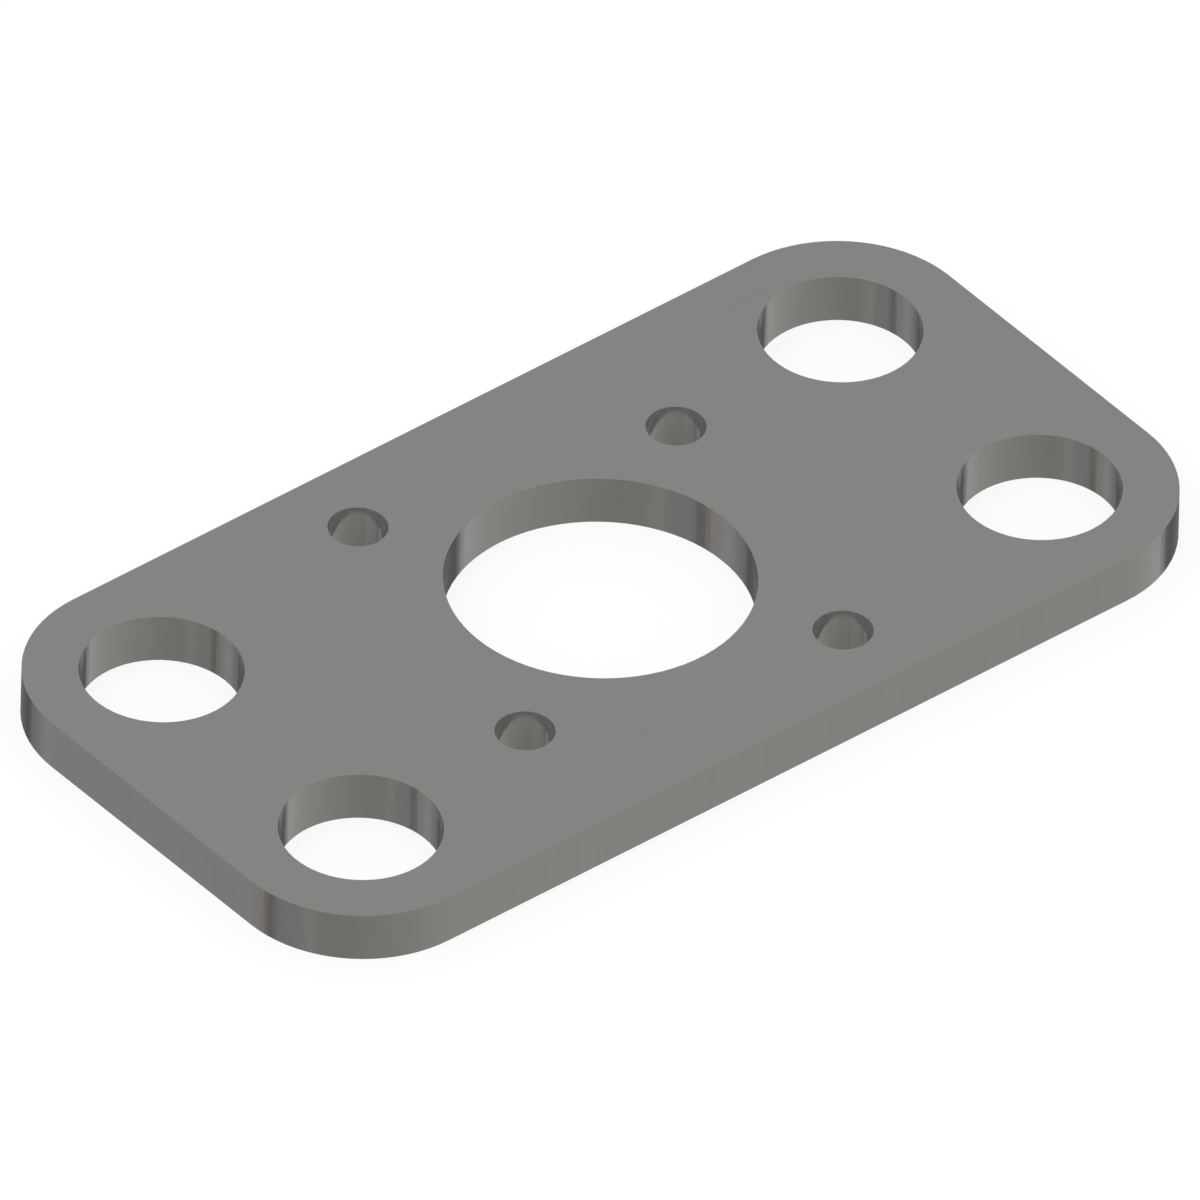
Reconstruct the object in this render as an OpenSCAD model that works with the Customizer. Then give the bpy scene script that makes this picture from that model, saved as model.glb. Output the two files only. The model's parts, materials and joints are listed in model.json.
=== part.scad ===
// Mounting plate, cut from flat steel plate in one piece. It has a large centre bore,
// small screw holes on a circle round the bore, and a fixing hole in each rounded corner.
// Lengths are in millimetres. The origin is on the bore's axis at the bottom face,
// +X runs along the plate's length, +Y across its width and +Z up through its thickness.

/* [Plate] */
// Length of the plate, along X
plate_length = 66; // [56:0.5:120]
// Width of the plate, along Y
plate_width = 34; // [31:0.5:60]
// Thickness of the plate, an eighth of an inch
plate_thickness = 3.175; // [1.5:0.025:8]
// Radius of the rounded corners, which each have a fixing hole at their centre
corner_radius = 8; // [6:0.25:10]

/* [Fixing holes] */
// Diameter of the fixing hole in each corner
fixing_hole_d = 9.5; // [3:0.25:11.5]

/* [Centre bore] */
// Diameter of the bore through the middle
centre_bore_d = 18; // [6:0.5:23]

/* [Screw holes] */
// Diameter of the circle that the screw holes lie on
screw_circle_d = 29; // [24:0.5:32]
// Diameter of each screw hole
screw_hole_d = 3.5; // [1:0.1:6]
// Number of screw holes, evenly spaced round the circle
screw_hole_count = 4; // [2:1:8]
// Angle from +X round to the first screw hole, in degrees
first_screw_angle = 33.5; // [0:0.5:90]

/* [Hidden] */
$fn = 128;
// The fixing holes share their centres with the corner arcs
fixing_pitch_x = plate_length - 2 * corner_radius;
fixing_pitch_y = plate_width - 2 * corner_radius;
screw_step_angle = 360 / screw_hole_count;
steel_grey = [0.52, 0.52, 0.51];

// Copies its children to the centres of the four corner arcs
module at_corners() {
    for (side_x = [-1, 1], side_y = [-1, 1])
        translate([side_x * fixing_pitch_x / 2, side_y * fixing_pitch_y / 2])
            children();
}

// Outline of the plate: two crossed rectangles and a disc that rounds each corner
module outline() {
    square([plate_length, fixing_pitch_y], center = true);
    square([fixing_pitch_x, plate_width], center = true);
    at_corners()
        circle(r = corner_radius);
}

// One large hole in each corner, for the bolts that hold the plate down
module fixing_holes() {
    at_corners()
        circle(d = fixing_hole_d);
}

// Large round opening for the boss or shaft of what the plate carries
module centre_bore() {
    circle(d = centre_bore_d);
}

// Ring of small holes for the screws of what the plate carries
module screw_holes() {
    for (index = [0:screw_hole_count - 1]) {
        angle = first_screw_angle + index * screw_step_angle;
        translate(screw_circle_d / 2 * [cos(angle), sin(angle)])
            circle(d = screw_hole_d);
    }
}

// The whole plate: its outline with every opening cut straight through the thickness
module mounting_plate() {
    color(steel_grey)
        linear_extrude(height = plate_thickness)
            difference() {
                outline();
                centre_bore();
                screw_holes();
                fixing_holes();
            }
}

mounting_plate();
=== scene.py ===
"""Satin steel mounting plate, lying on a white table in a soft studio.

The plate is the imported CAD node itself. This script gives it its steel, with the grain of
the rolled faces and the marks of the cutter on the edges, and sets up the table, the light
and the camera. Lengths are in metres, in the plate's own frame.
"""

import json
import math

import bmesh
import bpy
from mathutils import Euler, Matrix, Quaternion, Vector


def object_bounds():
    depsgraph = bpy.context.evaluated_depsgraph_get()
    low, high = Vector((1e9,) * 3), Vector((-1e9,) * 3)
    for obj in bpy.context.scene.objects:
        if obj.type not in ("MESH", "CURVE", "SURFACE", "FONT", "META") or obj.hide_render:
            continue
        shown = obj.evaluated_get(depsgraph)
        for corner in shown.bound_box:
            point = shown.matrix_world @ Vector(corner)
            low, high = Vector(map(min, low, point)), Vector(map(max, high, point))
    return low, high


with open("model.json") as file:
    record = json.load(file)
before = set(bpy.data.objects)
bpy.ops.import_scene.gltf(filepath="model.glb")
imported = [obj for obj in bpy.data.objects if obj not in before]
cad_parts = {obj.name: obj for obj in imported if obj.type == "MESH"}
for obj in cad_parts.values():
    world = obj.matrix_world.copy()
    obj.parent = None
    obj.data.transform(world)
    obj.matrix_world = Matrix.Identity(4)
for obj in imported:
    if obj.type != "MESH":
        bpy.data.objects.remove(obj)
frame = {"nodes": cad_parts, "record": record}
cad_low, cad_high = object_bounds()

MM_PER_METRE = 1000
DEGREES_PER_TURN = 360

# The camera: a parallel view, from the front left and above, leaning a little
VIEW_AZIMUTH = math.radians(-40.15)
VIEW_ELEVATION = math.radians(39.25)
VIEW_LEAN = math.radians(1.485)
VIEW_WIDTH = 0.06848
VIEW_DISTANCE = 0.4
VIEW_NEAR, VIEW_FAR = 0.01, 2.0

# The steel
STEEL = (0.2245, 0.2245, 0.2175)
FACE_ROUGHNESS = 0.38
EDGE_ROUGHNESS = 0.13
# An edge's finish turns into a face's where the surface turns upwards or downwards
FACE_FROM, FACE_TO = 0.4, 0.6

# The patterns in the steel: how many times a metre each one changes along X, Y and Z
LINES_SCALE = (70, 3600, 900)
FINE_LINES_SCALE = (260, 9000, 900)
CLOUDS_SCALE = (110, 170, 110)
MARKS_SCALE = (4200, 4200, 160)
NOISE_MIDDLE = 0.5
# How much they change its brightness, its roughness and its height
LINES_TONE, CLOUDS_TONE, MARKS_TONE = 0.12, 0.06, 0.09
LINES_ROUGHNESS, CLOUDS_ROUGHNESS, MARKS_ROUGHNESS = 0.10, 0.12, 0.06
PATTERN_DEPTH = 1e-5
FINE_LINES_SHARE = 0.5

# The drilled walls of the screw holes scatter more light than the edges, with a lower metallic,
# and their colour is painted brighter: a painted light that lifts the shade inside the holes
DRILLED_METALLIC = 0.42
DRILLED_PAINTED_LIGHT = 0.11
DRILLED_MARGIN = 0.0001

# The table and the lamps
TABLE_SIZE = 1.2
TABLE_SHADOW_SHARE = 0.14
TABLE_COLOUR = 0.83
LAMP_SIZE = 0.4
LAMP_DISTANCE = 0.6

# What stands round the studio below the level of the table, where the cut edges mirror it.
# Each wall is even between two directions, in degrees from +X, and fades into the next.
# Its level is 1 for white. Its warmth is above 0 for a warm tint and below 0 for a cool one.
STUDIO_WALLS = (
    {"name": "dark curtain", "from": 3, "to": 74, "level": 0.21, "warmth": 0.5},
    {"name": "brown curtain", "from": 82, "to": 92, "level": 0.19, "warmth": 1.9},
    {"name": "grey screen", "from": 100, "to": 105, "level": 0.45, "warmth": 0.1},
    {"name": "cool screen", "from": 121, "to": 138, "level": 0.76, "warmth": -0.4},
    {"name": "red strip", "from": 142, "to": 144, "level": 0.68, "warmth": 0.9, "redness": 1},
    {"name": "slim post", "from": 150, "to": 152, "level": 0.38, "warmth": 0.4},
    {"name": "plain wall", "from": 160, "to": 180, "level": 0.66, "warmth": 0.1},
    {"name": "light strip", "from": 188, "to": 190, "level": 0.77, "warmth": 1.0},
    {"name": "warm wall", "from": 202, "to": 218, "level": 0.67, "warmth": 1.0},
    {"name": "warm screen", "from": 310, "to": 314, "level": 0.93, "warmth": 0.6},
    {"name": "window", "from": 333, "to": 350, "level": 0.97, "warmth": 0.2},
)
# What a warmth or a redness of 1 adds to red, green and blue
WARM_TINT = (0.03, 0.01, -0.04)
RED_TINT = (0.1, 0, 0)

# Seen at a shallow angle, these walls are plainer than seen steeply
STUDIO_PLAIN_LEVEL = 0.75
STUDIO_SHALLOW_SHARE = 0.5
STUDIO_STEEP_FROM, STUDIO_STEEP_TO = 0.42, 0.58
# Above the table's level the studio is white, and this is how far down it fades
STUDIO_HORIZON_FADE = 0.1


class Value:
    """A number that varies over a surface. Sums on it add the Math nodes they need."""

    def __init__(self, tree, socket):
        self.tree = tree
        self.socket = socket

    def math(self, operation, *others):
        return self.tree.math(operation, self, *others)

    def __add__(self, other):
        return self.math("ADD", other)

    def __sub__(self, other):
        return self.math("SUBTRACT", other)

    def __mul__(self, other):
        return self.math("MULTIPLY", other)

    def __truediv__(self, other):
        return self.math("DIVIDE", other)

    def __rsub__(self, other):
        return self.tree.math("SUBTRACT", other, self)

    def __rtruediv__(self, other):
        return self.tree.math("DIVIDE", other, self)

    __radd__ = __add__
    __rmul__ = __mul__

    def swing(self, amount):
        """Noise that swings round 0 instead of round its middle, by an amount."""
        return (self - NOISE_MIDDLE) * amount

    def ramp(self, low, high):
        """0 below low, 1 above high and a smooth rise between them."""
        settings = {"interpolation_type": "SMOOTHSTEP"}
        inputs = {"Value": self, "From Min": low, "From Max": high}
        return self.tree.node("ShaderNodeMapRange", settings, inputs)


class Tree:
    """A material's or world's nodes. Each call of node() adds one and hands back an output."""

    def __init__(self, owner):
        owner.use_nodes = True
        self.nodes = owner.node_tree.nodes
        self.links = owner.node_tree.links
        self.nodes.clear()

    def node(self, kind, settings=None, inputs=None, output=0):
        made = self.nodes.new(kind)
        for name, setting in (settings or {}).items():
            if name == "stops":
                self.set_stops(made.color_ramp, setting)
            else:
                setattr(made, name, setting)
        for key, value in (inputs or {}).items():
            if isinstance(value, Value):
                self.links.new(value.socket, made.inputs[key])
            else:
                made.inputs[key].default_value = value
        return Value(self, made.outputs[output]) if made.outputs else None

    @staticmethod
    def set_stops(ramp, stops):
        while len(ramp.elements) > 1:
            ramp.elements.remove(ramp.elements[-1])
        for index, (place, colour) in enumerate(stops):
            stop = ramp.elements[0] if index == 0 else ramp.elements.new(place)
            stop.position = place
            stop.color = (*colour, 1)

    def math(self, operation, *numbers):
        return self.node("ShaderNodeMath", {"operation": operation}, dict(enumerate(numbers)))

    def parts(self, vector):
        """The x, y and z of a vector."""
        split = self.node("ShaderNodeSeparateXYZ", inputs={0: vector}).socket.node
        return [Value(self, socket) for socket in split.outputs]

    def noise(self, place, scale, detail, roughness=0.5):
        """Noise at a place, given as its x, y and z, which each have their own scale."""
        scaled = [part * times for part, times in zip(place, scale)]
        vector = self.node("ShaderNodeCombineXYZ", inputs=dict(enumerate(scaled)))
        inputs = {"Vector": vector, "Scale": 1.0, "Detail": detail, "Roughness": roughness}
        return self.node("ShaderNodeTexNoise", inputs=inputs)

    def mix(self, share, first, second, kind="FLOAT"):
        """The first value, or by share the second. A Mix node keeps sockets for each kind."""
        slots = {"FLOAT": (2, 3, 0), "RGBA": (6, 7, 2)}[kind]
        inputs = {0: share, slots[0]: first, slots[1]: second}
        return self.node("ShaderNodeMix", {"data_type": kind}, inputs, slots[2])


def grey(level):
    """An even grey as a colour, where a level of 1 is white."""
    return (level, level, level, 1)


def satin_steel():
    """Steel plate: rolled faces with a fine grain along X, and cut edges with upright marks."""
    material = bpy.data.materials.new("satin_steel")
    tree = Tree(material)
    place = tree.parts(tree.node("ShaderNodeTexCoord", output="Object"))
    facing = tree.parts(tree.node("ShaderNodeTexCoord", output="Normal"))
    on_face = facing[2].math("ABSOLUTE").ramp(FACE_FROM, FACE_TO)

    # Rolled faces: long fine lines over broad faint clouds
    lines = tree.noise(place, LINES_SCALE, detail=4, roughness=0.6)
    fine_lines = tree.noise(place, FINE_LINES_SCALE, detail=2)
    clouds = tree.noise(place, CLOUDS_SCALE, detail=3)
    face_height = lines + fine_lines * FINE_LINES_SHARE
    face_tone = lines.swing(LINES_TONE) + clouds.swing(CLOUDS_TONE)
    face_swing = clouds.swing(CLOUDS_ROUGHNESS) + lines.swing(LINES_ROUGHNESS)

    # Cut edges: fine upright marks, which wander a little from top to bottom
    marks = tree.noise(place, MARKS_SCALE, detail=3, roughness=0.55)
    edge_tone = marks.swing(MARKS_TONE)
    edge_swing = marks.swing(MARKS_ROUGHNESS)

    # Screw holes: their walls lie along the screw circle
    circle = next(mount for mount in frame["record"]["mounts"] if mount["name"] == "screw_circle")
    circle_radius = circle["dims"]["pcd_mm"] / 2 / MM_PER_METRE
    reach = circle["dims"]["hole_r_mm"] / MM_PER_METRE + DRILLED_MARGIN
    x, y = place[:2]
    from_circle = ((x * x + y * y).math("SQRT") - circle_radius).math("ABSOLUTE")
    drilled = (1 - from_circle.ramp(reach, reach + DRILLED_MARGIN)) * (1 - on_face)

    # The tone carries the grain, and on the screw holes' walls a painted light: their colour is
    # lifted to lighten the shade inside the holes
    tone = (1 + tree.mix(on_face, edge_tone, face_tone)) * (1 + drilled * DRILLED_PAINTED_LIGHT)
    steel = tree.node("ShaderNodeVectorMath", {"operation": "SCALE"}, {0: STEEL, "Scale": tone})
    roughness = tree.mix(on_face, EDGE_ROUGHNESS + edge_swing, FACE_ROUGHNESS + face_swing)
    height = tree.mix(on_face, marks, face_height)
    bump = tree.node(
        "ShaderNodeBump",
        inputs={"Strength": 1.0, "Distance": PATTERN_DEPTH, "Height": height},
    )
    shader = tree.node(
        "ShaderNodeBsdfPrincipled",
        inputs={
            "Base Color": steel,
            "Metallic": 1 - drilled * (1 - DRILLED_METALLIC),
            "Roughness": roughness,
            "Normal": bump,
        },
    )
    tree.node("ShaderNodeOutputMaterial", inputs={"Surface": shader})
    return material


def white_table():
    """A plain white table top, on which the plate's shadow still shows."""
    material = bpy.data.materials.new("white_table")
    tree = Tree(material)
    seen = tree.node("ShaderNodeLightPath", output="Is Camera Ray")
    for ray in ("Is Glossy Ray", "Is Transmission Ray"):
        seen = seen.math("MAXIMUM", tree.node("ShaderNodeLightPath", output=ray))
    white = tree.node("ShaderNodeEmission", inputs={"Color": grey(1), "Strength": 1.0})
    paper = tree.node("ShaderNodeBsdfDiffuse", inputs={"Color": grey(TABLE_COLOUR)})
    surface = tree.node(
        "ShaderNodeMixShader",
        inputs={0: seen * (1 - TABLE_SHADOW_SHARE), 1: paper, 2: white},
    )
    tree.node("ShaderNodeOutputMaterial", inputs={"Surface": surface})

    mesh = bpy.data.meshes.new("table_top")
    shape = bmesh.new()
    bmesh.ops.create_grid(shape, x_segments=1, y_segments=1, size=TABLE_SIZE / 2)
    shape.to_mesh(mesh)
    shape.free()
    mesh.materials.append(material)
    table = bpy.data.objects.new("table_top", mesh)
    bpy.context.scene.collection.objects.link(table)
    # The edges mirror the studio beyond the table, as they do on the bare white background
    table.visible_glossy = False
    table.visible_shadow = False


def wall_colour(wall):
    """The colour of a studio wall, from its level, its warmth and its redness."""
    warmth = wall["warmth"]
    redness = wall.get("redness", 0)
    tints = zip(WARM_TINT, RED_TINT)
    return [wall["level"] * (1 + warm * warmth + red * redness) for warm, red in tints]


def soft_studio():
    """A white studio all round, with darker and lighter walls below the table's level."""
    world = bpy.data.worlds.new("soft_studio")
    bpy.context.scene.world = world
    tree = Tree(world)
    x, y, z = tree.parts(tree.node("ShaderNodeTexCoord", output="Generated"))

    # The ramp's ends meet in the middle of the first wall
    first = STUDIO_WALLS[0]
    seam = (first["from"] + first["to"]) / 2 / DEGREES_PER_TURN
    turn = (y.math("ARCTAN2", x) / math.tau - seam).math("FRACT")
    stops = []
    for wall in STUDIO_WALLS:
        for side in ("from", "to"):
            stops.append(((wall[side] / DEGREES_PER_TURN - seam) % 1, wall_colour(wall)))
    walls = tree.node("ShaderNodeValToRGB", {"stops": sorted(stops)}, {0: turn})

    downward = 0 - z
    steep = downward.ramp(STUDIO_STEEP_FROM, STUDIO_STEEP_TO)
    share = steep * (1 - STUDIO_SHALLOW_SHARE) + STUDIO_SHALLOW_SHARE
    walls = tree.mix(share, grey(STUDIO_PLAIN_LEVEL), walls, "RGBA")
    camera = tree.node("ShaderNodeLightPath", output="Is Camera Ray")
    below = downward.ramp(0.0, STUDIO_HORIZON_FADE) * (1 - camera)
    colour = tree.mix(below, grey(1), walls, "RGBA")
    light = tree.node("ShaderNodeBackground", inputs={"Color": colour, "Strength": 1.0})
    tree.node("ShaderNodeOutputWorld", inputs={"Surface": light})


def soft_lamp(name, azimuth, elevation, watts):
    """A square lamp over the table, turned to the plate."""
    lamp = bpy.data.lights.new(name, "AREA")
    lamp.shape = "SQUARE"
    lamp.size = LAMP_SIZE
    lamp.energy = watts
    holder = bpy.data.objects.new(name, lamp)
    turned, raised = math.radians(azimuth), math.radians(elevation)
    away = Vector(
        (
            math.cos(turned) * math.cos(raised),
            math.sin(turned) * math.cos(raised),
            math.sin(raised),
        )
    )
    holder.location = away * LAMP_DISTANCE
    holder.rotation_euler = away.to_track_quat("Z", "Y").to_euler()
    bpy.context.scene.collection.objects.link(holder)


def parallel_camera():
    """The camera of the photograph, aimed at the middle of the plate."""
    lens = bpy.data.cameras.new("camera")
    lens.type = "ORTHO"
    lens.ortho_scale = VIEW_WIDTH
    lens.clip_start = VIEW_NEAR
    lens.clip_end = VIEW_FAR
    camera = bpy.data.objects.new("camera", lens)
    level = Euler((math.pi / 2 - VIEW_ELEVATION, 0, VIEW_AZIMUTH)).to_quaternion()
    camera.rotation_mode = "QUATERNION"
    camera.rotation_quaternion = level @ Quaternion((0, 0, 1), VIEW_LEAN)
    middle = (cad_low + cad_high) / 2
    camera.location = middle + level @ Vector((0, 0, VIEW_DISTANCE))
    bpy.context.scene.collection.objects.link(camera)
    bpy.context.scene.camera = camera


plate = frame["nodes"]["mounting_plate"]
plate.material_slots[0].material = satin_steel()
white_table()
soft_studio()
soft_lamp("lamp_left", azimuth=165, elevation=62, watts=0.8)
soft_lamp("lamp_right", azimuth=-60, elevation=66, watts=0.5)
parallel_camera()
bpy.context.scene.view_settings.view_transform = "Standard"
